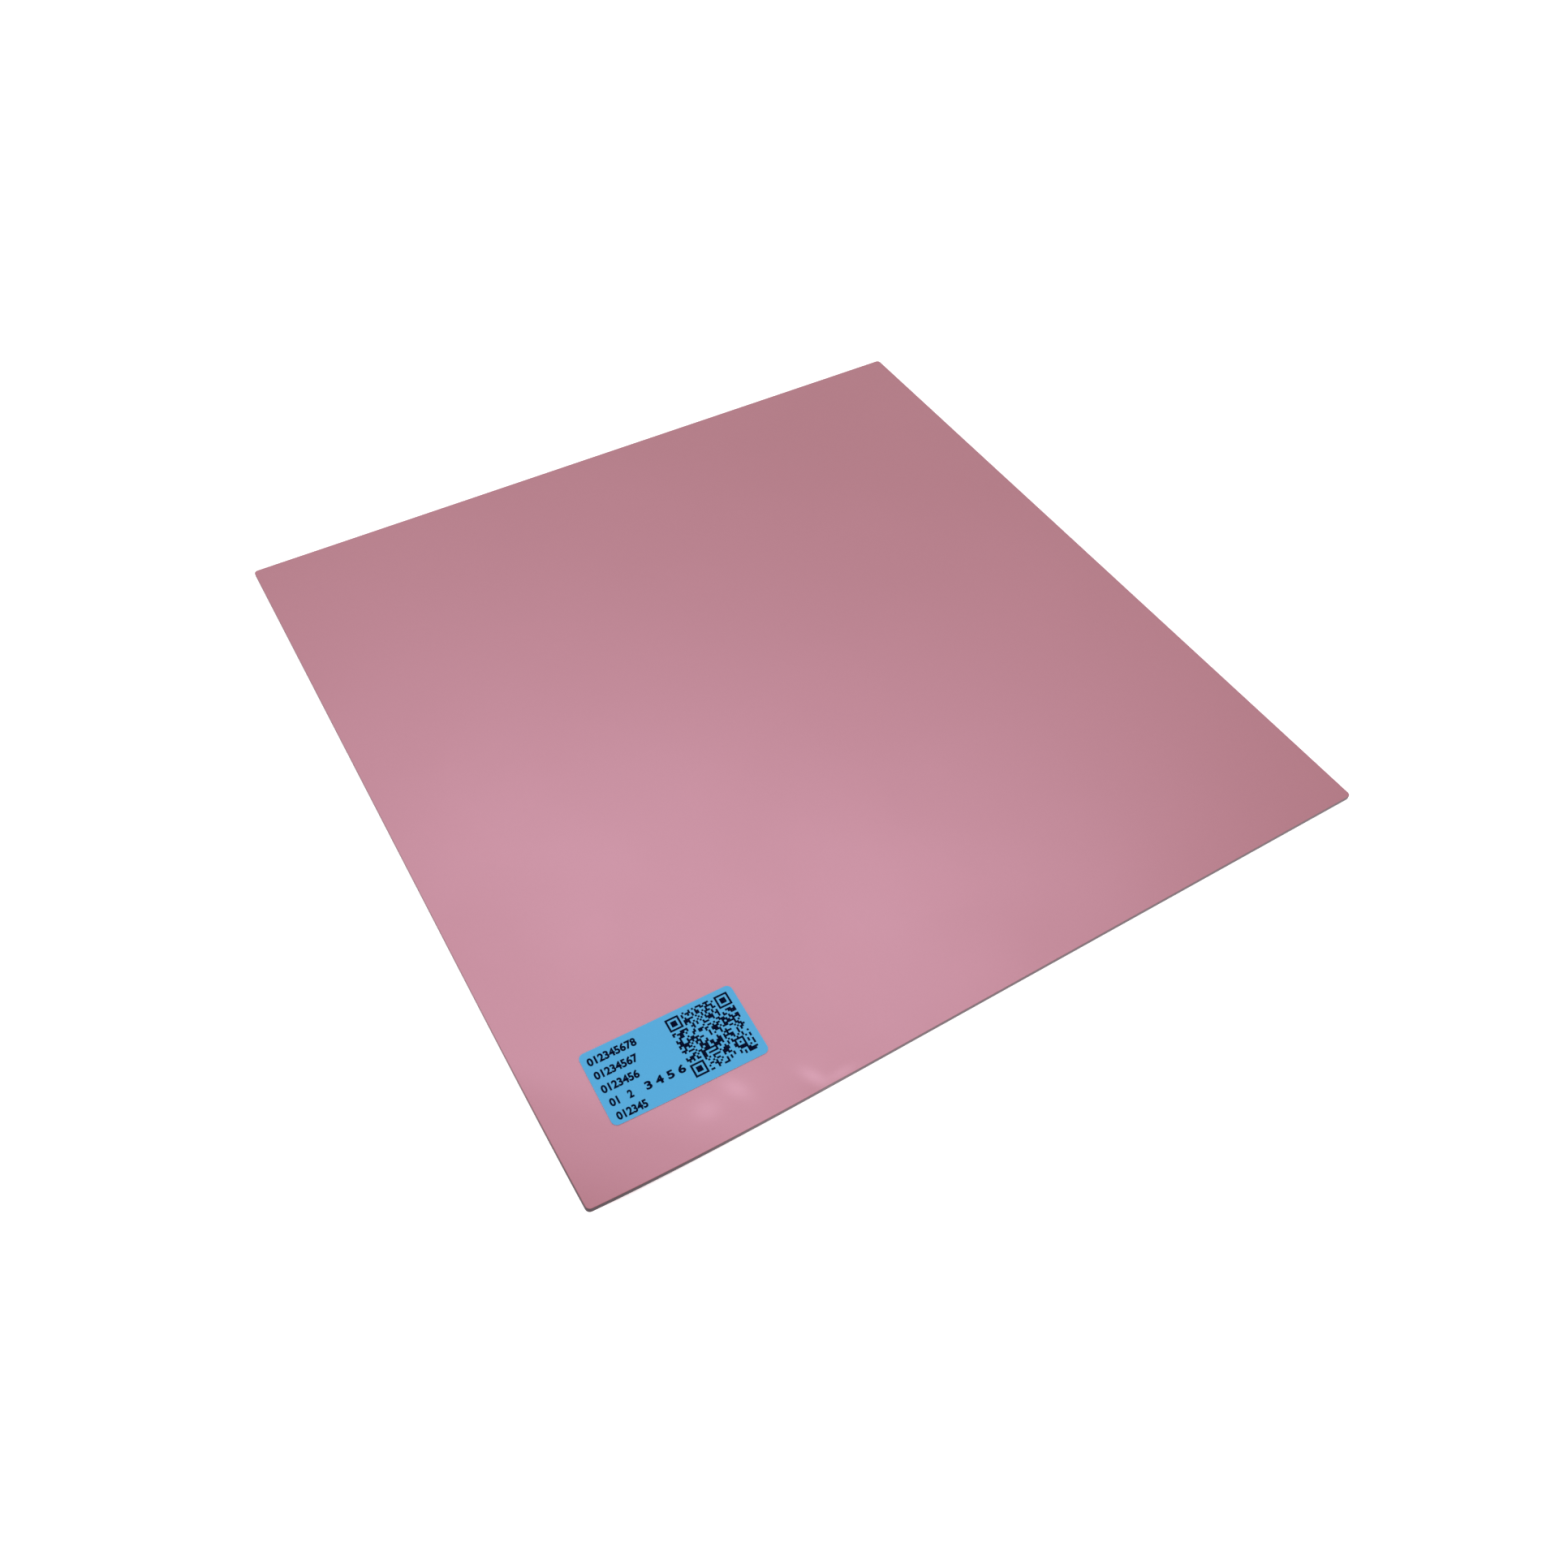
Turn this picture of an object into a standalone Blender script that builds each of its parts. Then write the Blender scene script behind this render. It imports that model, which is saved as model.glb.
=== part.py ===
# Thermal pad sheet: a square of soft pink silicone with a small blue label stuck on near one corner.
# Metres, +Z up. The origin is on the underside, in the middle of the sheet.
# +X runs along the front side, from the corner by the label, and +Y runs from the front side to the back.

from math import pi, radians, sin

import bmesh
import bpy
from mathutils import Matrix, Vector

# The sheet
SHEET_LENGTH = 0.2286
SHEET_WIDTH = 0.2286
SHEET_THICKNESS = 0.00127
SHEET_CORNER_RADIUS = 0.0012
SHEET_EDGE_ROUND = 0.00015

# The front corner by the label curls up over a triangle, more steeply towards its tip.
# Its reach is how far the curl runs along the front side, and how far along the left side.
CURL_HEIGHT = 0.0045
CURL_FRONT_REACH = 0.080
CURL_SIDE_REACH = 0.080
CURL_POWER = 3

# The label, placed by its distances from the sheet's left and front sides
LABEL_LENGTH = 0.0397
LABEL_WIDTH = 0.0199
LABEL_THICKNESS = 0.0001
LABEL_CORNER_RADIUS = 0.0015
LABEL_LEFT_MARGIN = 0.0140
LABEL_FRONT_MARGIN = 0.0146
LABEL_TURN = radians(-1.5)
GLUE_THICKNESS = 0.00003

# How finely the sheet is divided, and how strongly its grid lines crowd towards the sides
GRID_CELLS = 64
SIDE_CROWDING = 0.7
LABEL_CELLS_LONG = 12
LABEL_CELLS_WIDE = 6
CORNER_SEGMENTS = 4
EDGE_SEGMENTS = 2

PINK = (0.503, 0.238, 0.301, 1.0)
BLUE = (0.098, 0.392, 0.694, 1.0)

label_centre = Vector((
    -SHEET_LENGTH / 2 + LABEL_LEFT_MARGIN + LABEL_LENGTH / 2,
    -SHEET_WIDTH / 2 + LABEL_FRONT_MARGIN + LABEL_WIDTH / 2,
    0.0,
))


def clear_scene():
    for thing in list(bpy.data.objects):
        bpy.data.objects.remove(thing, do_unlink=True)


def make_material(name, colour, roughness):
    material = bpy.data.materials.new(name)
    material.use_nodes = True
    shader = material.node_tree.nodes["Principled BSDF"]
    shader.inputs["Base Color"].default_value = colour
    shader.inputs["Roughness"].default_value = roughness
    shader.inputs["Metallic"].default_value = 0.0
    material.diffuse_color = colour
    return material


def rise_at(point):
    """Height of the sheet's underside above the floor. The label on top follows it."""
    from_left = point.x + SHEET_LENGTH / 2
    from_front = point.y + SHEET_WIDTH / 2
    share = max(0.0, 1.0 - from_left / CURL_FRONT_REACH - from_front / CURL_SIDE_REACH)
    return CURL_HEIGHT * share ** CURL_POWER


def crowd(position, half):
    """Moves an evenly spaced grid line towards the nearer side, and keeps the outermost lines in place."""
    share = position / half
    return half * ((1.0 - SIDE_CROWDING) * share + SIDE_CROWDING * sin(share * pi / 2))


def round_corners(mesh, length, width, radius):
    """Rounds the four outer corners of a flat rectangle centred on the origin."""
    corners = [v for v in mesh.verts
               if abs(abs(v.co.x) - length / 2) < 1e-6 and abs(abs(v.co.y) - width / 2) < 1e-6]
    bmesh.ops.bevel(mesh, geom=corners, offset=radius, offset_type="OFFSET", segments=CORNER_SEGMENTS,
                    profile=0.5, affect="VERTICES")


def add_flat_piece(name, mesh, thickness, material, collection):
    """Makes an object of a one-sided flat shape and thickens it upwards."""
    data = bpy.data.meshes.new(name)
    mesh.to_mesh(data)
    mesh.free()
    data.materials.append(material)
    piece = bpy.data.objects.new(name, data)
    collection.objects.link(piece)
    shell = piece.modifiers.new("Thickness", "SOLIDIFY")
    shell.thickness = thickness
    shell.offset = 1.0
    return piece


def build_sheet(collection):
    mesh = bmesh.new()
    bmesh.ops.create_grid(mesh, x_segments=GRID_CELLS, y_segments=GRID_CELLS, size=0.5)
    for vertex in mesh.verts:
        vertex.co.x = crowd(vertex.co.x * SHEET_LENGTH, SHEET_LENGTH / 2)
        vertex.co.y = crowd(vertex.co.y * SHEET_WIDTH, SHEET_WIDTH / 2)
    round_corners(mesh, SHEET_LENGTH, SHEET_WIDTH, SHEET_CORNER_RADIUS)
    for vertex in mesh.verts:
        vertex.co.z = rise_at(vertex.co)
    pink = make_material("pad_silicone", PINK, 0.5)
    sheet = add_flat_piece("pad_sheet", mesh, SHEET_THICKNESS, pink, collection)
    softened = sheet.modifiers.new("Soft cut edges", "BEVEL")
    softened.width = SHEET_EDGE_ROUND
    softened.segments = EDGE_SEGMENTS
    softened.limit_method = "ANGLE"
    softened.angle_limit = radians(60)
    sheet.data.shade_smooth()
    sheet.data.set_sharp_from_angle(angle=radians(40))
    return sheet


def build_label(collection):
    mesh = bmesh.new()
    bmesh.ops.create_grid(mesh, x_segments=LABEL_CELLS_LONG, y_segments=LABEL_CELLS_WIDE, size=0.5)
    bmesh.ops.scale(mesh, vec=(LABEL_LENGTH, LABEL_WIDTH, 1.0), verts=mesh.verts)
    round_corners(mesh, LABEL_LENGTH, LABEL_WIDTH, LABEL_CORNER_RADIUS)
    bmesh.ops.transform(mesh, matrix=Matrix.Translation(label_centre) @ Matrix.Rotation(LABEL_TURN, 4, "Z"),
                        verts=mesh.verts)
    for vertex in mesh.verts:
        vertex.co.z = rise_at(vertex.co) + SHEET_THICKNESS + GLUE_THICKNESS
    blue = make_material("label_paper", BLUE, 0.45)
    return add_flat_piece("label", mesh, LABEL_THICKNESS, blue, collection)


def main():
    clear_scene()
    collection = bpy.data.collections.new("Thermal pad sheet")
    bpy.context.scene.collection.children.link(collection)
    build_sheet(collection)
    build_label(collection)


main()
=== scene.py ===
from math import radians

import bpy
from mathutils import Matrix, Vector
from mathutils.bvhtree import BVHTree


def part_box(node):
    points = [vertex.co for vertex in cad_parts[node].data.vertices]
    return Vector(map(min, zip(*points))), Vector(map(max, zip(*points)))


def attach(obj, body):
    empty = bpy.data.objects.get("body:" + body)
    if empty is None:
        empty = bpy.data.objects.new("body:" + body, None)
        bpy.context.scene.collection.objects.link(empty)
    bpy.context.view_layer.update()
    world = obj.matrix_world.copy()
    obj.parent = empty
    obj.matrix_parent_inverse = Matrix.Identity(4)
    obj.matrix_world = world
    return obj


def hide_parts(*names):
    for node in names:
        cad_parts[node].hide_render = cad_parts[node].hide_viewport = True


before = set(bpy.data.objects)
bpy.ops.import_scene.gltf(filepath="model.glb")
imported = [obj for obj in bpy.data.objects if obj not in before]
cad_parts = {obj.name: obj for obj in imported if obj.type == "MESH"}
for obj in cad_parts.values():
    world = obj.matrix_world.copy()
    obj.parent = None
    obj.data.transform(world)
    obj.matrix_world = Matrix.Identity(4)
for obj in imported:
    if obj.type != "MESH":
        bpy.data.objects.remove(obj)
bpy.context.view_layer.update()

padLow, padHigh = (Vector(corner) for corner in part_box("pad_sheet"))
print("frame loaded")


# small helpers for node trees

def toSocket(tree, value, socket):
    # a value is either another node's output or a plain number
    if isinstance(value, bpy.types.NodeSocket):
        tree.links.new(value, socket)
    else:
        socket.default_value = value


def addMath(tree, operation, *values, clamp=False):
    node = tree.nodes.new("ShaderNodeMath")
    node.operation = operation
    node.use_clamp = clamp
    for value, socket in zip(values, node.inputs):
        toSocket(tree, value, socket)
    return node.outputs[0]


def addCompare(tree, operation, left, right, tolerance=None):
    # compares two numbers
    node = tree.nodes.new("FunctionNodeCompare")
    node.data_type = "FLOAT"
    node.operation = operation
    sockets = [socket for socket in node.inputs if socket.enabled]
    toSocket(tree, left, sockets[0])
    toSocket(tree, right, sockets[1])
    if tolerance is not None:
        sockets[2].default_value = tolerance
    return node.outputs[0]


def addLogic(tree, operation, left, right=None):
    node = tree.nodes.new("FunctionNodeBooleanMath")
    node.operation = operation
    toSocket(tree, left, node.inputs[0])
    if right is not None:
        toSocket(tree, right, node.inputs[1])
    return node.outputs[0]


def addVectorMath(tree, operation, first, second=None):
    node = tree.nodes.new("ShaderNodeVectorMath")
    node.operation = operation
    toSocket(tree, first, node.inputs[0])
    if second is not None:
        toSocket(tree, second, node.inputs["Scale"] if operation == "SCALE" else node.inputs[1])
    return node.outputs[0]


def addMapRange(tree, value, fromLow, fromHigh, toLow, toHigh, smooth=False):
    node = tree.nodes.new("ShaderNodeMapRange")
    node.clamp = True
    if smooth:
        node.interpolation_type = "SMOOTHSTEP"
    for name, entry in (("Value", value), ("From Min", fromLow), ("From Max", fromHigh),
                        ("To Min", toLow), ("To Max", toHigh)):
        toSocket(tree, entry, node.inputs[name])
    return node.outputs["Result"]


def addNoise(tree, vector, scale, detail=2.0, roughness=0.5):
    node = tree.nodes.new("ShaderNodeTexNoise")
    toSocket(tree, vector, node.inputs["Vector"])
    toSocket(tree, scale, node.inputs["Scale"])
    node.inputs["Detail"].default_value = detail
    node.inputs["Roughness"].default_value = roughness
    return node.outputs["Fac"]


def splitVector(tree, vector):
    node = tree.nodes.new("ShaderNodeSeparateXYZ")
    tree.links.new(vector, node.inputs[0])
    return node.outputs


def joinVector(tree, x=0.0, y=0.0, z=0.0):
    node = tree.nodes.new("ShaderNodeCombineXYZ")
    for value, socket in zip((x, y, z), node.inputs):
        toSocket(tree, value, socket)
    return node.outputs[0]


def movePoints(tree, geometry, **inputs):
    node = tree.nodes.new("GeometryNodeSetPosition")
    tree.links.new(geometry, node.inputs["Geometry"])
    for name, value in inputs.items():
        tree.links.new(value, node.inputs[name.capitalize()])
    return node.outputs["Geometry"]


def newGeometryTree(name, floats=(), integers=()):
    tree = bpy.data.node_groups.new(name, "GeometryNodeTree")
    tree.is_modifier = True
    for entry in floats:
        tree.interface.new_socket(entry, in_out="INPUT", socket_type="NodeSocketFloat")
    for entry in integers:
        tree.interface.new_socket(entry, in_out="INPUT", socket_type="NodeSocketInt")
    tree.interface.new_socket("Material", in_out="INPUT", socket_type="NodeSocketMaterial")
    tree.interface.new_socket("Geometry", in_out="OUTPUT", socket_type="NodeSocketGeometry")
    source = tree.nodes.new("NodeGroupInput").outputs
    return tree, source


def endTree(tree, source, geometry):
    # every tree ends in real geometry with its material
    realise = tree.nodes.new("GeometryNodeRealizeInstances")
    setMaterial = tree.nodes.new("GeometryNodeSetMaterial")
    target = tree.nodes.new("NodeGroupOutput")
    tree.links.new(geometry, realise.inputs["Geometry"])
    tree.links.new(realise.outputs["Geometry"], setMaterial.inputs["Geometry"])
    tree.links.new(source["Material"], setMaterial.inputs["Material"])
    tree.links.new(setMaterial.outputs["Geometry"], target.inputs["Geometry"])


def addObject(name, data):
    thing = bpy.data.objects.new(name, data)
    bpy.context.scene.collection.objects.link(thing)
    return thing


def toMesh(name, drawn):
    # keeps what an object has grown into as a plain mesh, and removes the object
    graph = bpy.context.evaluated_depsgraph_get()
    data = bpy.data.meshes.new_from_object(drawn.evaluated_get(graph), depsgraph=graph)
    data.name = name
    bpy.data.objects.remove(drawn, do_unlink=True)
    return data


def grow(name, tree, settings, finish=None):
    # runs a tree on an empty mesh
    seed = addObject(name + "_seed", bpy.data.meshes.new(name + "_seed"))
    modifier = seed.modifiers.new("Nodes", "NODES")
    modifier.node_group = tree
    for socket in tree.interface.items_tree:
        if socket.in_out == "INPUT" and socket.name in settings:
            modifier[socket.identifier] = settings[socket.name]
    if finish:
        finish(seed)
    return addObject(name, toMesh(name, seed))


# finishes shared by the pieces

surfaceSet = {
    "grainDetail": 3.0,
    "speckRoughness": 0.6,
    "cloudRoughness": 0.45,
    "cloudRange": (0.3, 0.7),  # the clouds that give a surface its least and greatest roughness
    "levelRange": (0.90, 0.962),  # between these slopes a cut side turns into a broad face
    "bevelAngle": 60,
    "smoothAngle": 20,
}


def makeGrainGroup():
    # fine specks and soft clouds over a surface: a shade around 1 and a height around 0.5
    group = bpy.data.node_groups.new("Fine grain", "ShaderNodeTree")
    for entry in ("Speck Scale", "Cloud Scale", "Speck Amount", "Cloud Amount"):
        group.interface.new_socket(entry, in_out="INPUT", socket_type="NodeSocketFloat")
    for entry in ("Shade", "Height", "Cloud"):
        group.interface.new_socket(entry, in_out="OUTPUT", socket_type="NodeSocketFloat")
    source = group.nodes.new("NodeGroupInput").outputs
    target = group.nodes.new("NodeGroupOutput").inputs
    place = group.nodes.new("ShaderNodeTexCoord").outputs["Object"]
    patterns = []
    shades = []
    for kind, roughness in (("Speck", "speckRoughness"), ("Cloud", "cloudRoughness")):
        pattern = addNoise(group, place, source[kind + " Scale"], surfaceSet["grainDetail"],
                           surfaceSet[roughness])
        centred = addMath(group, "SUBTRACT", pattern, 0.5)
        patterns.append(pattern)
        shades.append(addMath(group, "MULTIPLY", centred, source[kind + " Amount"]))
    shade = addMath(group, "ADD", addMath(group, "ADD", *shades), 1.0)
    for name, value in (("Shade", shade), ("Height", patterns[0]), ("Cloud", patterns[1])):
        group.links.new(value, target[name])
    return group


def newMaterial(name):
    material = bpy.data.materials.new(name)
    material.use_nodes = True
    tree = material.node_tree
    return material, tree, tree.nodes["Principled BSDF"]


def addGroup(tree, group, values):
    # places a shared group, with its values in the order of its inputs
    node = tree.nodes.new("ShaderNodeGroup")
    node.node_tree = group
    for socket, value in zip(node.inputs, values):
        socket.default_value = value
    return node.outputs


def shaded(tree, colour, shade):
    # multiplies a colour by a shade that varies over the surface
    node = tree.nodes.new("ShaderNodeVectorMath")
    node.operation = "SCALE"
    if isinstance(colour, bpy.types.NodeSocket):
        tree.links.new(colour, node.inputs[0])
    else:
        node.inputs[0].default_value = colour[:3]
    tree.links.new(shade, node.inputs["Scale"])
    return node.outputs[0]


def mixColours(tree, factor, first, second):
    node = tree.nodes.new("ShaderNodeMix")
    node.data_type = "RGBA"
    toSocket(tree, factor, node.inputs["Factor"])
    toSocket(tree, first, node.inputs[6])
    toSocket(tree, second, node.inputs[7])
    return node.outputs[2]


def addBump(tree, height, strength, distance):
    node = tree.nodes.new("ShaderNodeBump")
    node.inputs["Strength"].default_value = strength
    node.inputs["Distance"].default_value = distance
    tree.links.new(height, node.inputs["Height"])
    return node.outputs["Normal"]


def makeSpotGroup():
    # a soft oval spot on the upper face: 1 at its centre, fading to nothing around it
    group = bpy.data.node_groups.new("Soft spot", "ShaderNodeTree")
    for entry in ("Centre X", "Centre Y", "Half Length", "Half Width", "Turn"):
        group.interface.new_socket(entry, in_out="INPUT", socket_type="NodeSocketFloat")
    group.interface.new_socket("Mask", in_out="OUTPUT", socket_type="NodeSocketFloat")
    source = group.nodes.new("NodeGroupInput").outputs
    target = group.nodes.new("NodeGroupOutput").inputs
    place = splitVector(group, group.nodes.new("ShaderNodeTexCoord").outputs["Object"])
    dx = addMath(group, "SUBTRACT", place["X"], source["Centre X"])
    dy = addMath(group, "SUBTRACT", place["Y"], source["Centre Y"])
    cosine = addMath(group, "COSINE", source["Turn"])
    sine = addMath(group, "SINE", source["Turn"])
    along = addMath(group, "ADD", addMath(group, "MULTIPLY", dx, cosine),
                    addMath(group, "MULTIPLY", dy, sine))
    across = addMath(group, "SUBTRACT", addMath(group, "MULTIPLY", dy, cosine),
                     addMath(group, "MULTIPLY", dx, sine))
    squares = []
    for value, size in ((along, "Half Length"), (across, "Half Width")):
        squares.append(addMath(group, "POWER", addMath(group, "DIVIDE", value, source[size]), 2.0))
    falling = addMath(group, "MULTIPLY", addMath(group, "ADD", *squares), -1.0)
    group.links.new(addMath(group, "EXPONENT", falling), target["Mask"])
    return group


def normalPart(tree, axis):
    normal = tree.nodes.new("ShaderNodeNewGeometry").outputs["True Normal"]
    return splitVector(tree, normal)[axis]


def sideMask(tree):
    # 1 on upright faces such as cut sides, 0 on level ones
    level = addMath(tree, "ABSOLUTE", normalPart(tree, "Z"))
    return addMapRange(tree, level, *surfaceSet["levelRange"], 1.0, 0.0)


def cloudyRoughness(tree, cloud, middle, spread):
    # a roughness that changes a little with the soft clouds
    return addMapRange(tree, cloud, *surfaceSet["cloudRange"], middle - spread, middle + spread)


grainGroup = makeGrainGroup()
spotGroup = makeSpotGroup()


# the silicone sheet

padSet = {
    "length": padHigh.x - padLow.x,
    "width": padHigh.y - padLow.y,
    "thickness": 0.00127,
    "cornerRadius": 0.0012,
    "cells": 150,
    "cornerCells": 6,
    "sideCrowding": 0.55,  # how strongly the grid's lines crowd towards the sides
    "edgeRound": 0.00015,
    "edgeSegments": 2,
    "curlHeight": 0.0045,  # rise of the front corner by the label
    "curlFrontReach": 0.080,
    "curlSideReach": 0.080,
    "curlPower": 3.0,
    "waveHeight": 0.00006,
    "waveScale": 14.0,
    # shallow ripples along the front side, beside the label: centre x, y, radius, height
    "ripples": (
        (-0.0807, -0.1060, 0.0042, 0.00016),
        (-0.0715, -0.1050, 0.0040, 0.00014),
        (-0.0545, -0.1115, 0.0044, 0.00018),
    ),
    "pink": (0.3933, 0.1422, 0.1729, 1.0),
    "cutPale": (0.28, 0.185, 0.210, 1.0),  # the cut sides
    "cutFrontShade": (0.125, 0.083, 0.100, 1.0),  # the front cut side, darkened with painted shade
    "cutCornerShade": (0.070, 0.045, 0.055, 1.0),  # painted shade on the cut sides beneath the raised corner
    "cornerShadeReach": (0.012, 0.060),  # the painted shade is full up to here, and gone from there
    "frontShadeFacing": (-0.9, -0.3),  # the normal's y where the front cut side's painted shade is full, and where it ends
    # grain: speck scale, cloud scale, speck amount, cloud amount
    "faceGrain": (2600.0, 18.0, 0.05, 0.03),
    "cutGrain": (1400.0, 220.0, 0.12, 0.10),
    "bump": (0.12, 0.00002),  # strength and depth
    "roughness": 0.388,
    "roughSpread": 0.02,
    "cutRougher": 0.2,
    "refraction": 1.42,
    "sheen": 0.38,
    "shine": 0.23,  # a thin gloss over that, which the handled raised corner has lost
    "handledFront": 0.042,  # how far from that corner, along each side
    "handledSide": 0.044,
    "handledSoft": 0.4,
    # glossier spots beside the label: centre x, y, half length, half width, turn in degrees, gain
    "shinySpots": (
        (-0.0808, -0.1058, 0.0033, 0.0029, 0.0, 0.26),
        (-0.0724, -0.1047, 0.0042, 0.0022, -63.0, 0.34),
        (-0.0556, -0.1110, 0.0038, 0.0017, -62.0, 0.42),
        (-0.0500, -0.1131, 0.0040, 0.0013, 0.0, 0.32),
        (-0.0720, -0.1070, 0.0090, 0.0045, 0.0, 0.08),
    ),
}


def fromRaisedCorner(tree):
    # distances from the two sides that meet at the raised corner
    place = splitVector(tree, tree.nodes.new("ShaderNodeTexCoord").outputs["Object"])
    return [addMath(tree, "ADD", place[axis], padSet[size] / 2)
            for axis, size in (("X", "length"), ("Y", "width"))]


def padShine(tree, distances):
    # the gloss over the upper face: none at the handled corner, more in the spots
    inward = [addMath(tree, "DIVIDE", distance, padSet[reach])
              for distance, reach in zip(distances, ("handledFront", "handledSide"))]
    handled = addMath(tree, "SUBTRACT", 1.0, addMath(tree, "ADD", *inward), clamp=True)
    shine = addMapRange(tree, handled, 0.0, padSet["handledSoft"], padSet["shine"], 0.0,
                        smooth=True)
    for *oval, turn, gain in padSet["shinySpots"]:
        spot = addGroup(tree, spotGroup, (*oval, radians(turn)))
        shine = addMath(tree, "ADD", shine, addMath(tree, "MULTIPLY", spot["Mask"], gain))
    return shine


def makePadMaterial():
    material, tree, shader = newMaterial("padSilicone")
    grain = addGroup(tree, grainGroup, padSet["faceGrain"])
    cut = addGroup(tree, grainGroup, padSet["cutGrain"])
    mask = sideMask(tree)
    face = shaded(tree, padSet["pink"], grain["Shade"])
    distances = fromRaisedCorner(tree)
    tree.links.new(padShine(tree, distances), shader.inputs["Coat Weight"])
    # painted shade: the cut sides darken towards the raised corner, where shade falls beneath it
    dark = addMapRange(tree, addMath(tree, "ADD", *distances), *padSet["cornerShadeReach"], 1.0, 0.0)
    # painted shade: the front cut side, facing away from the light, is painted darker than the
    # other cut sides
    frontShade = addMapRange(tree, normalPart(tree, "Y"), *padSet["frontShadeFacing"], 1.0, 0.0)
    side = mixColours(tree, frontShade, padSet["cutPale"], padSet["cutFrontShade"])
    side = shaded(tree, mixColours(tree, dark, side, padSet["cutCornerShade"]), cut["Shade"])
    tree.links.new(mixColours(tree, mask, face, side), shader.inputs["Base Color"])
    rough = cloudyRoughness(tree, grain["Cloud"], padSet["roughness"], padSet["roughSpread"])
    rough = addMath(tree, "ADD", rough, addMath(tree, "MULTIPLY", mask, padSet["cutRougher"]))
    tree.links.new(rough, shader.inputs["Roughness"])
    shader.inputs["IOR"].default_value = padSet["refraction"]
    shader.inputs["Specular IOR Level"].default_value = padSet["sheen"]
    shader.inputs["Coat IOR"].default_value = padSet["refraction"]
    shader.inputs["Coat Roughness"].default_value = padSet["roughness"]
    tree.links.new(addBump(tree, grain["Height"], *padSet["bump"]), shader.inputs["Normal"])
    return material


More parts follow.
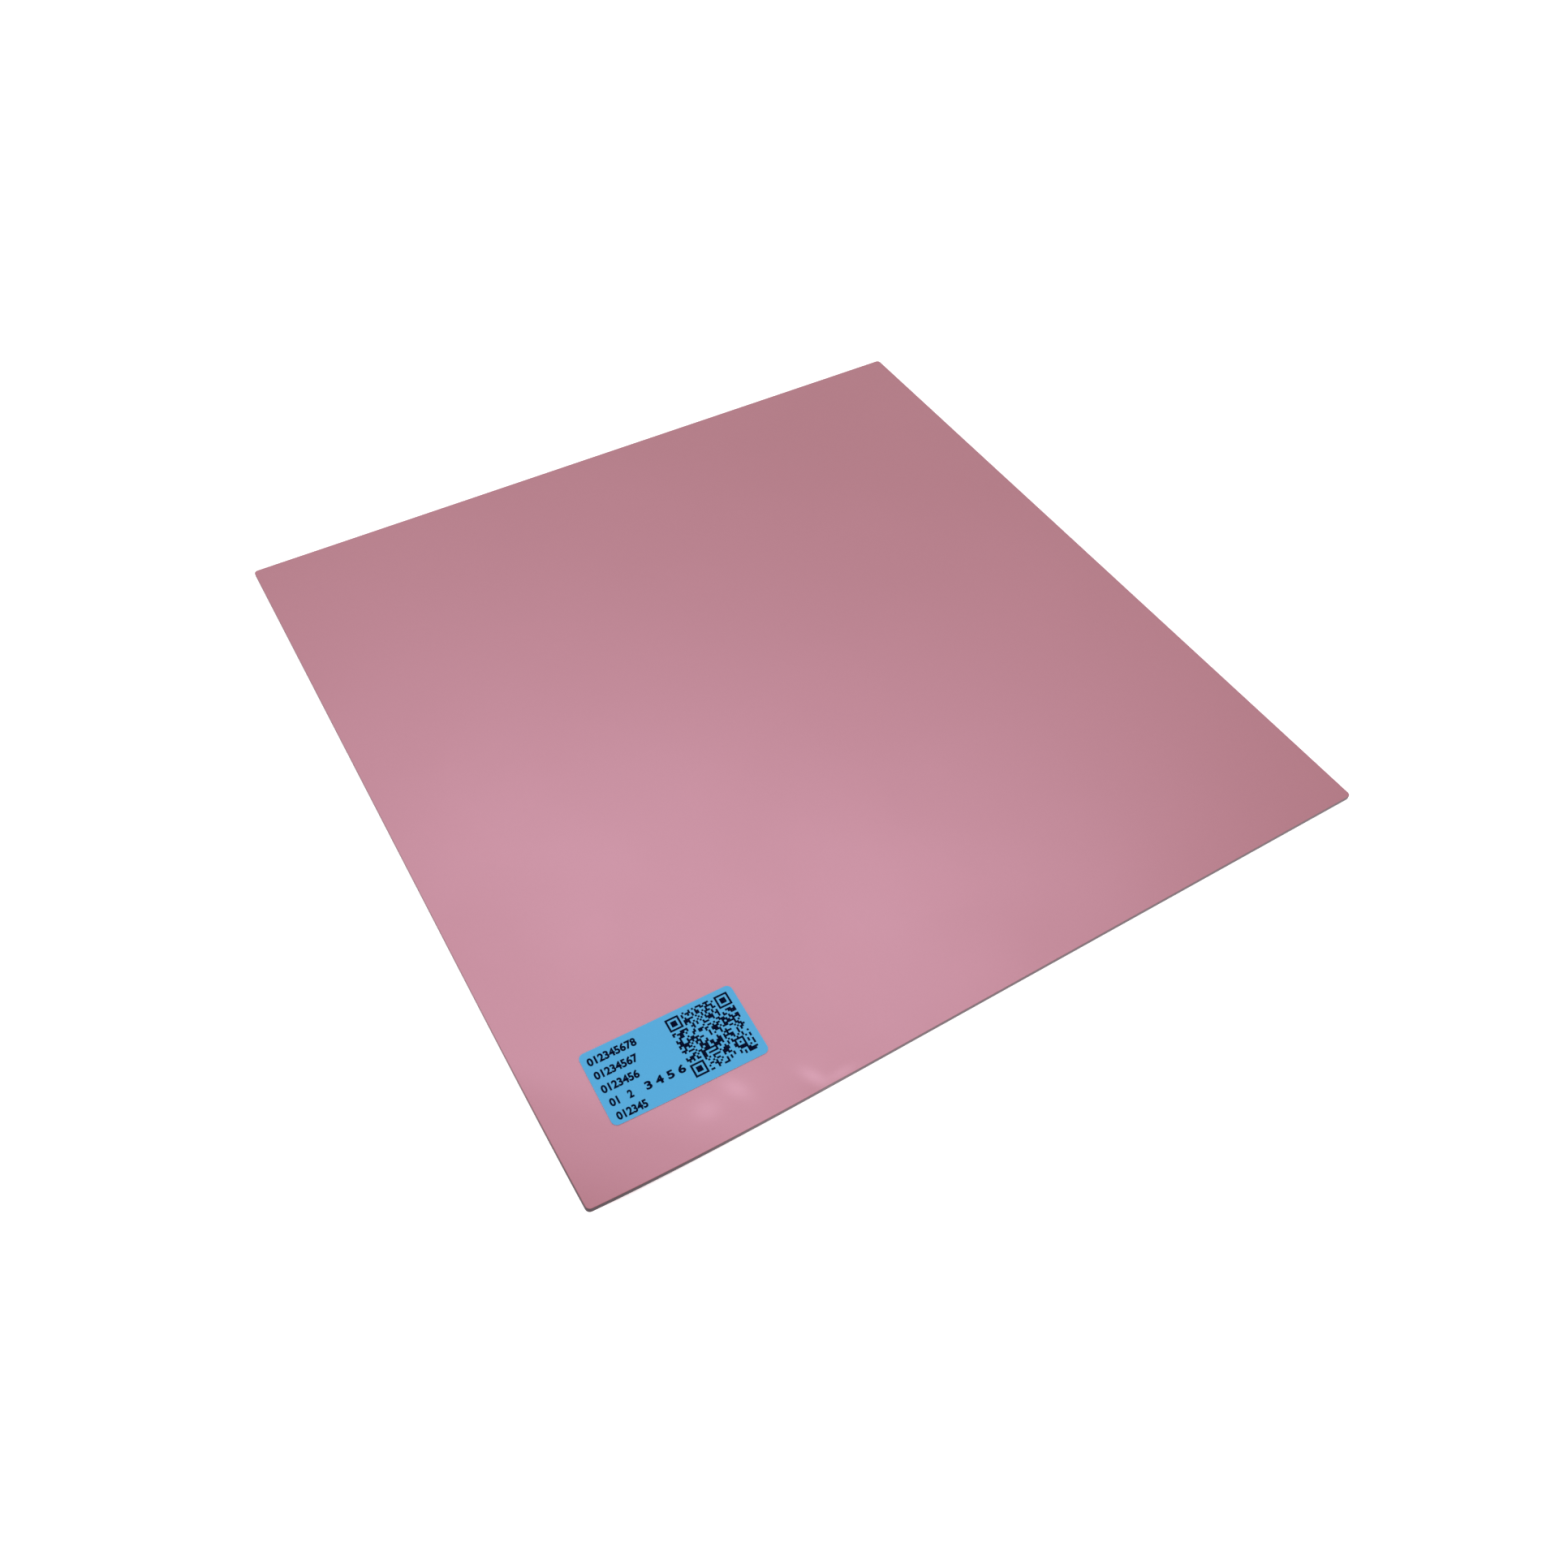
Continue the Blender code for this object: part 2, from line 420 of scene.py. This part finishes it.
def makeRoundedSheetTree():
    # a level sheet with rounded corners, closed all round; its grid is finest along the sides
    tree, source = newGeometryTree(
        "Rounded sheet",
        floats=("Length", "Width", "Thickness", "Corner Radius", "Crowding", "Curl Height",
                "Curl Front Reach", "Curl Side Reach", "Curl Power", "Wave Height", "Wave Scale"),
        integers=("Cells", "Corner Cells"))
    links = tree.links
    lines = addMath(tree, "ADD", source["Cells"], 1)
    grid = tree.nodes.new("GeometryNodeMeshGrid")
    for axis in ("X", "Y"):
        grid.inputs["Size " + axis].default_value = 2.0
        links.new(lines, grid.inputs["Vertices " + axis])
    place = splitVector(tree, tree.nodes.new("GeometryNodeInputPosition").outputs[0])
    # the share of each half that lies inside the corner's band
    halfCells = addMath(tree, "DIVIDE", source["Cells"], 2.0)
    bandShare = addMath(tree, "DIVIDE", source["Corner Cells"], halfCells)
    band = addMath(tree, "SUBTRACT", 1.0, bandShare)
    radius = source["Corner Radius"]
    inner = []
    outer = []
    signs = []
    for axis, size in (("X", "Length"), ("Y", "Width")):
        share = addMath(tree, "ABSOLUTE", place[axis])
        signs.append(addMath(tree, "SIGN", place[axis]))
        straight = addMath(tree, "SUBTRACT", addMath(tree, "DIVIDE", source[size], 2.0), radius)
        even = addMapRange(tree, share, 0.0, band, 0.0, 1.0)
        evenShare = addMath(tree, "SUBTRACT", 1.0, source["Crowding"])
        curved = addMath(tree, "SINE", addMath(tree, "MULTIPLY", even, radians(90)))
        crowded = addMath(tree, "ADD", addMath(tree, "MULTIPLY", even, evenShare),
                          addMath(tree, "MULTIPLY", curved, source["Crowding"]))
        inner.append(addMath(tree, "MULTIPLY", crowded, straight))
        outer.append(addMapRange(tree, share, band, 1.0, 0.0, radius))
    # the corner's square band is drawn in to a quarter circle
    nearNothing = 1e-9  # keeps the division off zero
    longest = addMath(tree, "MAXIMUM", addMath(tree, "MAXIMUM", *outer), nearNothing)
    squares = [addMath(tree, "MULTIPLY", reach, reach) for reach in outer]
    diagonal = addMath(tree, "SQRT", addMath(tree, "ADD", *squares))
    pull = addMath(tree, "DIVIDE", longest, addMath(tree, "MAXIMUM", diagonal, nearNothing))
    across = []
    for sign, straightPart, cornerPart in zip(signs, inner, outer):
        reach = addMath(tree, "ADD", straightPart, addMath(tree, "MULTIPLY", cornerPart, pull))
        across.append(addMath(tree, "MULTIPLY", sign, reach))
    level = movePoints(tree, grid.outputs["Mesh"], position=joinVector(tree, *across))
    # one corner curls up over a triangle, more steeply towards its tip
    where = tree.nodes.new("GeometryNodeInputPosition").outputs[0]
    spot = splitVector(tree, where)
    away = []
    for axis, size, reach in (("X", "Length", "Curl Front Reach"),
                              ("Y", "Width", "Curl Side Reach")):
        inward = addMath(tree, "ADD", spot[axis], addMath(tree, "DIVIDE", source[size], 2.0))
        away.append(addMath(tree, "DIVIDE", inward, source[reach]))
    share = addMath(tree, "SUBTRACT", 1.0, addMath(tree, "ADD", *away), clamp=True)
    curled = addMath(tree, "POWER", share, source["Curl Power"])
    rise = addMath(tree, "MULTIPLY", curled, source["Curl Height"])
    bottom = movePoints(tree, level, offset=joinVector(tree, z=rise))
    # the upper face is the lower one moved out by the thickness, with its own slight relief
    up = joinVector(tree, z=source["Thickness"])
    raised = tree.nodes.new("GeometryNodeExtrudeMesh")
    raised.inputs["Individual"].default_value = False
    raised.inputs["Offset Scale"].default_value = 1.0
    links.new(bottom, raised.inputs["Mesh"])
    links.new(up, raised.inputs["Offset"])
    slope = addMath(tree, "MULTIPLY", source["Curl Height"], source["Curl Power"])
    easing = addMath(tree, "POWER", share, addMath(tree, "SUBTRACT", source["Curl Power"], 1.0))
    steep = addMath(tree, "MULTIPLY", slope, easing)
    lean = joinVector(tree, addMath(tree, "DIVIDE", steep, source["Curl Front Reach"]),
                      addMath(tree, "DIVIDE", steep, source["Curl Side Reach"]), 1.0)
    unit = addVectorMath(tree, "NORMALIZE", lean)
    outward = addVectorMath(tree, "SCALE", unit, source["Thickness"])
    tilted = addVectorMath(tree, "SUBTRACT", outward, up)
    waves = addNoise(tree, where, source["Wave Scale"], detail=1.0)
    relief = addMath(tree, "MULTIPLY", waves, source["Wave Height"])
    for centreX, centreY, size, height in padSet["ripples"]:
        offsets = [addMath(tree, "DIVIDE", addMath(tree, "SUBTRACT", spot[axis], centre), size)
                   for axis, centre in (("X", centreX), ("Y", centreY))]
        squares = [addMath(tree, "MULTIPLY", offset, offset) for offset in offsets]
        falling = addMath(tree, "MULTIPLY", addMath(tree, "ADD", *squares), -1.0)
        bump = addMath(tree, "EXPONENT", falling)
        relief = addMath(tree, "ADD", relief, addMath(tree, "MULTIPLY", bump, height))
    # a sheet without waves, such as the label, has no ripples of its own
    waved = addCompare(tree, "GREATER_THAN", source["Wave Height"], 0.0)
    wave = joinVector(tree, z=addMath(tree, "MULTIPLY", relief, waved))
    top = movePoints(tree, raised.outputs["Mesh"], selection=raised.outputs["Top"],
                     offset=addVectorMath(tree, "ADD", tilted, wave))
    flipped = tree.nodes.new("GeometryNodeFlipFaces")
    links.new(bottom, flipped.inputs["Mesh"])
    joined = tree.nodes.new("GeometryNodeJoinGeometry")
    links.new(flipped.outputs["Mesh"], joined.inputs["Geometry"])
    links.new(top, joined.inputs["Geometry"])
    merged = tree.nodes.new("GeometryNodeMergeByDistance")
    merged.inputs["Distance"].default_value = 0.000001
    links.new(joined.outputs["Geometry"], merged.inputs["Geometry"])
    endTree(tree, source, merged.outputs["Geometry"])
    return tree


def roundEdges(width, segments):
    def finish(seed):
        bevel = seed.modifiers.new("Soft edges", "BEVEL")
        bevel.width = width
        bevel.segments = segments
        bevel.limit_method = "ANGLE"
        bevel.angle_limit = radians(surfaceSet["bevelAngle"])
    return finish


def smoothPiece(piece):
    # the broad faces stay flat up to their rounded rims
    piece.data.shade_smooth()
    piece.data.set_sharp_from_angle(angle=radians(surfaceSet["smoothAngle"]))


sheetTree = makeRoundedSheetTree()
pad = grow("silicone_sheet", sheetTree, {
    "Length": padSet["length"],
    "Width": padSet["width"],
    "Thickness": padSet["thickness"],
    "Corner Radius": padSet["cornerRadius"],
    "Crowding": padSet["sideCrowding"],
    "Curl Height": padSet["curlHeight"],
    "Curl Front Reach": padSet["curlFrontReach"],
    "Curl Side Reach": padSet["curlSideReach"],
    "Curl Power": padSet["curlPower"],
    "Wave Height": padSet["waveHeight"],
    "Wave Scale": padSet["waveScale"],
    "Cells": padSet["cells"],
    "Corner Cells": padSet["cornerCells"],
    "Material": makePadMaterial(),
}, roundEdges(padSet["edgeRound"], padSet["edgeSegments"]))
smoothPiece(pad)
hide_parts("pad_sheet")
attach(pad, "root")
print("sheet:", len(pad.data.polygons), "faces")


# the label

labelSet = {
    "length": 0.0397,
    "width": 0.0199,
    "thickness": 0.0001,
    "cornerRadius": 0.0015,
    "cells": 40,
    "cornerCells": 5,
    "crowding": 0.3,
    "edgeRound": 0.00002,
    "edgeSegments": 1,
    "centre": (-0.08045, -0.08975),
    "turn": radians(-1.5),
    "glue": 0.00003,
    "blue": (0.086, 0.417, 0.735, 1.0),
    "paperEdge": (0.30, 0.50, 0.72, 1.0),
    "grain": (3800.0, 90.0, 0.05, 0.04),
    "bump": (0.1, 0.00001),
    "roughness": 0.7,
    "roughSpread": 0.03,
    "sheen": 0.12,
}
labelTurn = Matrix.Rotation(labelSet["turn"], 4, "Z")
labelPlace = Matrix.Translation((*labelSet["centre"], 0.0)) @ labelTurn


def layOn(piece, below, gap):
    # lowers a piece, drawn level at z = 0, onto whatever lies under each of its points
    surface = BVHTree.FromObject(below, bpy.context.evaluated_depsgraph_get())
    overAll = 0.05  # well above the sheet
    down = Vector((0.0, 0.0, -1.0))
    for vertex in piece.data.vertices:
        hit = surface.ray_cast(Vector((vertex.co.x, vertex.co.y, overAll)), down)[0]
        vertex.co.z += hit.z + gap


def makeLabelMaterial():
    material, tree, shader = newMaterial("labelPaper")
    grain = addGroup(tree, grainGroup, labelSet["grain"])
    face = shaded(tree, labelSet["blue"], grain["Shade"])
    colour = mixColours(tree, sideMask(tree), face, labelSet["paperEdge"])
    tree.links.new(colour, shader.inputs["Base Color"])
    rough = cloudyRoughness(tree, grain["Cloud"], labelSet["roughness"], labelSet["roughSpread"])
    tree.links.new(rough, shader.inputs["Roughness"])
    shader.inputs["Specular IOR Level"].default_value = labelSet["sheen"]
    tree.links.new(addBump(tree, grain["Height"], *labelSet["bump"]), shader.inputs["Normal"])
    return material


label = grow("label_sticker", sheetTree, {
    "Length": labelSet["length"],
    "Width": labelSet["width"],
    "Thickness": labelSet["thickness"],
    "Corner Radius": labelSet["cornerRadius"],
    "Crowding": labelSet["crowding"],
    "Curl Height": 0.0,
    "Curl Front Reach": 1.0,
    "Curl Side Reach": 1.0,
    "Curl Power": 1.0,
    "Wave Height": 0.0,
    "Wave Scale": 1.0,
    "Cells": labelSet["cells"],
    "Corner Cells": labelSet["cornerCells"],
    "Material": makeLabelMaterial(),
}, roundEdges(labelSet["edgeRound"], labelSet["edgeSegments"]))
label.data.transform(labelPlace)
layOn(label, pad, labelSet["glue"])
smoothPiece(label)
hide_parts("label")
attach(label, "root")
print("label:", len(label.data.polygons), "faces")


# the print on the label: a block of random squares that encodes nothing, and plain counting digits

printSet = {
    "modules": 33,
    "pitch": 0.000498,
    "moduleFill": 0.985,
    "seed": 11,
    "codeCentre": (0.00993, 0.00033),
    "inkThickness": 0.000012,
    "ink": (0.0020, 0.0040, 0.0240, 1.0),
    "grain": (6000.0, 300.0, 0.5, 0.4),
    "roughness": 0.675,
    "roughSpread": 0.075,
    "sheen": 0.0,
    "digitHeight": 0.0020,
    "digitWeight": 0.00011,
    "capitalShare": 0.72,  # a capital's share of the font's size
    "curveSteps": 3,
    # rows of digits in the label's own frame: text, left end, right end and baseline
    "rows": (
        ("012345678", -0.0185, -0.0063, 0.0062),
        ("01234567", -0.0185, -0.0077, 0.0024),
        ("0123456", -0.0185, -0.0092, -0.0014),
        ("01", -0.0182, -0.0160, -0.0052),
        ("2", -0.0137, -0.0125, -0.0052),
        ("3 4 5 6", -0.0094, 0.0007, -0.0052),
        ("012345", -0.0182, -0.0107, -0.0089),
    ),
}


def makeInkMaterial():
    material, tree, shader = newMaterial("labelInk")
    grain = addGroup(tree, grainGroup, printSet["grain"])
    tree.links.new(shaded(tree, printSet["ink"], grain["Shade"]), shader.inputs["Base Color"])
    rough = cloudyRoughness(tree, grain["Cloud"], printSet["roughness"], printSet["roughSpread"])
    tree.links.new(rough, shader.inputs["Roughness"])
    shader.inputs["Specular IOR Level"].default_value = printSet["sheen"]
    return material


def makeCodeTree():
    # squares on a grid: three finder squares, a small one, dotted guide lines and a random fill
    tree, source = newGeometryTree("Printed squares", floats=("Pitch", "Fill", "Ink Thickness"),
                                   integers=("Modules", "Seed"))
    links = tree.links
    last = addMath(tree, "SUBTRACT", source["Modules"], 1)
    span = addMath(tree, "MULTIPLY", source["Pitch"], last)
    grid = tree.nodes.new("GeometryNodeMeshGrid")
    for axis in ("X", "Y"):
        links.new(span, grid.inputs["Size " + axis])
        links.new(source["Modules"], grid.inputs["Vertices " + axis])
    place = splitVector(tree, tree.nodes.new("GeometryNodeInputPosition").outputs[0])
    half = addMath(tree, "DIVIDE", last, 2.0)
    steps = [addMath(tree, "DIVIDE", place[axis], source["Pitch"]) for axis in ("X", "Y")]
    column = addMath(tree, "ROUND", addMath(tree, "ADD", steps[0], half))
    row = addMath(tree, "ROUND", addMath(tree, "SUBTRACT", half, steps[1]))

    def ringDistance(atColumn, atRow):
        across = addMath(tree, "ABSOLUTE", addMath(tree, "SUBTRACT", column, atColumn))
        down = addMath(tree, "ABSOLUTE", addMath(tree, "SUBTRACT", row, atRow))
        return addMath(tree, "MAXIMUM", across, down)

    def near(value, number):
        return addCompare(tree, "EQUAL", value, number, tolerance=0.2)

    def below(value, number):
        return addCompare(tree, "LESS_THAN", value, number)

    def drawOver(dark, area, pattern):
        # inside the area, only the pattern's squares stay dark
        outside = addLogic(tree, "AND", dark, addLogic(tree, "NOT", area))
        return addLogic(tree, "OR", outside, addLogic(tree, "AND", area, pattern))

    finderPlace = 3  # a finder square's centre, in squares from two sides
    guidePlace = 6  # the guide lines, and the small square's centre from the other two sides
    random = tree.nodes.new("FunctionNodeRandomValue")
    random.data_type = "BOOLEAN"
    random.inputs["Probability"].default_value = 0.5
    links.new(source["Seed"], random.inputs["Seed"])
    dark = random.outputs[3]
    for line, other in ((row, column), (column, row)):
        dotted = below(addMath(tree, "MODULO", other, 2.0), 0.5)
        dark = drawOver(dark, near(line, guidePlace), dotted)
    smallPlace = addMath(tree, "SUBTRACT", last, guidePlace)
    ring = ringDistance(smallPlace, smallPlace)
    dark = drawOver(dark, below(ring, 2.5), addLogic(tree, "NOT", near(ring, 1)))
    far = addMath(tree, "SUBTRACT", last, finderPlace)
    for atColumn, atRow in ((finderPlace, finderPlace), (far, finderPlace), (finderPlace, far)):
        ring = ringDistance(atColumn, atRow)
        finder = addLogic(tree, "OR", near(ring, 3), below(ring, 1.5))
        dark = drawOver(dark, below(ring, 4.5), finder)
    side = addMath(tree, "MULTIPLY", source["Pitch"], source["Fill"])
    square = tree.nodes.new("GeometryNodeMeshCube")
    links.new(joinVector(tree, side, side, source["Ink Thickness"]), square.inputs["Size"])
    copies = tree.nodes.new("GeometryNodeInstanceOnPoints")
    links.new(grid.outputs["Mesh"], copies.inputs["Points"])
    links.new(dark, copies.inputs["Selection"])
    links.new(square.outputs["Mesh"], copies.inputs["Instance"])
    endTree(tree, source, copies.outputs["Instances"])
    return tree


def finishPrint(piece, offset):
    # puts a print drawn in the label's own frame onto the label
    piece.data.transform(labelPlace @ Matrix.Translation(offset))
    layOn(piece, label, printSet["inkThickness"] / 2)
    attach(piece, "root")


inkMaterial = makeInkMaterial()
code = grow("printed_squares", makeCodeTree(), {
    "Pitch": printSet["pitch"],
    "Fill": printSet["moduleFill"],
    "Ink Thickness": printSet["inkThickness"],
    "Modules": printSet["modules"],
    "Seed": printSet["seed"],
    "Material": inkMaterial,
})
finishPrint(code, (*printSet["codeCentre"], 0.0))
print("printed squares:", len(code.data.polygons), "faces")


def makeDigits(name, text, length):
    curve = bpy.data.curves.new(name, "FONT")
    curve.body = text
    curve.size = printSet["digitHeight"] / printSet["capitalShare"]
    curve.offset = printSet["digitWeight"]
    curve.extrude = printSet["inkThickness"] / 2
    curve.resolution_u = printSet["curveSteps"]
    data = toMesh(name, addObject(name, curve))
    data.materials.clear()
    data.materials.append(inkMaterial)
    across = [vertex.co.x for vertex in data.vertices]
    data.transform(Matrix.Translation((-min(across), 0.0, 0.0)))
    data.transform(Matrix.Diagonal((length / (max(across) - min(across)), 1.0, 1.0, 1.0)))
    return addObject(name, data)


for index, (text, left, right, baseline) in enumerate(printSet["rows"]):
    digits = makeDigits("printed_digits_%d" % (index + 1), text, right - left)
    finishPrint(digits, (left, baseline, 0.0))
print("printed digits:", len(printSet["rows"]), "groups")


# the studio: a plain pale floor, soft light and the camera

studioSet = {
    "white": (1.0, 1.0, 1.0, 1.0),
    "floorSize": 4.0,
    "floorColour": (0.70, 0.70, 0.70, 1.0),
    "floorGrain": (60.0, 1.5, 0.01, 0.01),
    "floorRoughness": 0.9,
    "floorGlow": 0.75,
    "shadeReach": 0.012,
    "shadeRange": (0.27, 0.40),
    "worldStrength": 0.95,
    "boxPower": 69.7,
    "boxLength": 1.821,
    "boxWidth": 0.669,
    "boxTurn": -7.27,
    "boxPlace": (0.5507, 0.9995, 2.0680),
    "boxAim": (-0.05, -0.06, 0.0),
    "boxColour": (1.0, 0.661, 0.905),
}
cameraSet = {
    "place": (-0.14120, -0.21593, 0.28046),
    "aim": (-0.01710, -0.02437, 0.0),
    "roll": 2.584,
    "sensorWidth": 36.0,
    "lens": 30.382,
    "shiftX": 0.01274,
    "shiftY": -0.01491,
    "clipStart": 0.005,
}


def makeFloor():
    half = studioSet["floorSize"] / 2
    corners = [(-half, -half, 0), (half, -half, 0), (half, half, 0), (-half, half, 0)]
    data = bpy.data.meshes.new("floor")
    data.from_pydata(corners, [], [(0, 1, 2, 3)])
    material, tree, shader = newMaterial("floorPaint")
    grain = addGroup(tree, grainGroup, studioSet["floorGrain"])
    colour = shaded(tree, studioSet["floorColour"], grain["Shade"])
    tree.links.new(colour, shader.inputs["Base Color"])
    shader.inputs["Roughness"].default_value = studioSet["floorRoughness"]
    # the glow keeps the floor white and stops only in the shade beneath the raised corner
    openness = tree.nodes.new("ShaderNodeAmbientOcclusion")
    openness.inputs["Distance"].default_value = studioSet["shadeReach"]
    shader.inputs["Emission Color"].default_value = studioSet["white"]
    glow = addMapRange(tree, openness.outputs["AO"], *studioSet["shadeRange"],
                       0.0, studioSet["floorGlow"], smooth=True)
    tree.links.new(glow, shader.inputs["Emission Strength"])
    data.materials.append(material)
    floor = addObject("floor", data)


def aimed(place, aim, turn):
    # stands at a place, looks at a point and is turned about that line, in degrees
    place = Vector(place)
    look = (Vector(aim) - place).to_track_quat("-Z", "Y").to_matrix()
    turned = look @ Matrix.Rotation(radians(turn), 3, "Z")
    return Matrix.Translation(place) @ turned.to_4x4()


def addSoftBox():
    # a wide soft box behind the sheet gives it its sheen; the even light around does the rest
    light = bpy.data.lights.new("softBox", "AREA")
    light.shape = "RECTANGLE"
    light.size = studioSet["boxLength"]
    light.size_y = studioSet["boxWidth"]
    light.energy = studioSet["boxPower"]
    light.color = studioSet["boxColour"]
    lamp = addObject("softBox", light)
    lamp.matrix_world = aimed(studioSet["boxPlace"], studioSet["boxAim"], studioSet["boxTurn"])
    lamp.visible_diffuse = False


def makeWorld():
    world = bpy.data.worlds.new("studio")
    world.use_nodes = True
    background = world.node_tree.nodes["Background"]
    background.inputs["Color"].default_value = studioSet["white"]
    background.inputs["Strength"].default_value = studioSet["worldStrength"]
    bpy.context.scene.world = world


def makeCamera():
    lens = bpy.data.cameras.new("camera")
    lens.sensor_width = cameraSet["sensorWidth"]
    lens.lens = cameraSet["lens"]
    lens.shift_x = cameraSet["shiftX"]
    lens.shift_y = cameraSet["shiftY"]
    lens.clip_start = cameraSet["clipStart"]
    camera = addObject("camera", lens)
    camera.matrix_world = aimed(cameraSet["place"], cameraSet["aim"], cameraSet["roll"])
    bpy.context.scene.camera = camera


makeFloor()
makeWorld()
addSoftBox()
makeCamera()
bpy.context.scene.view_settings.view_transform = "Standard"
print("studio ready")
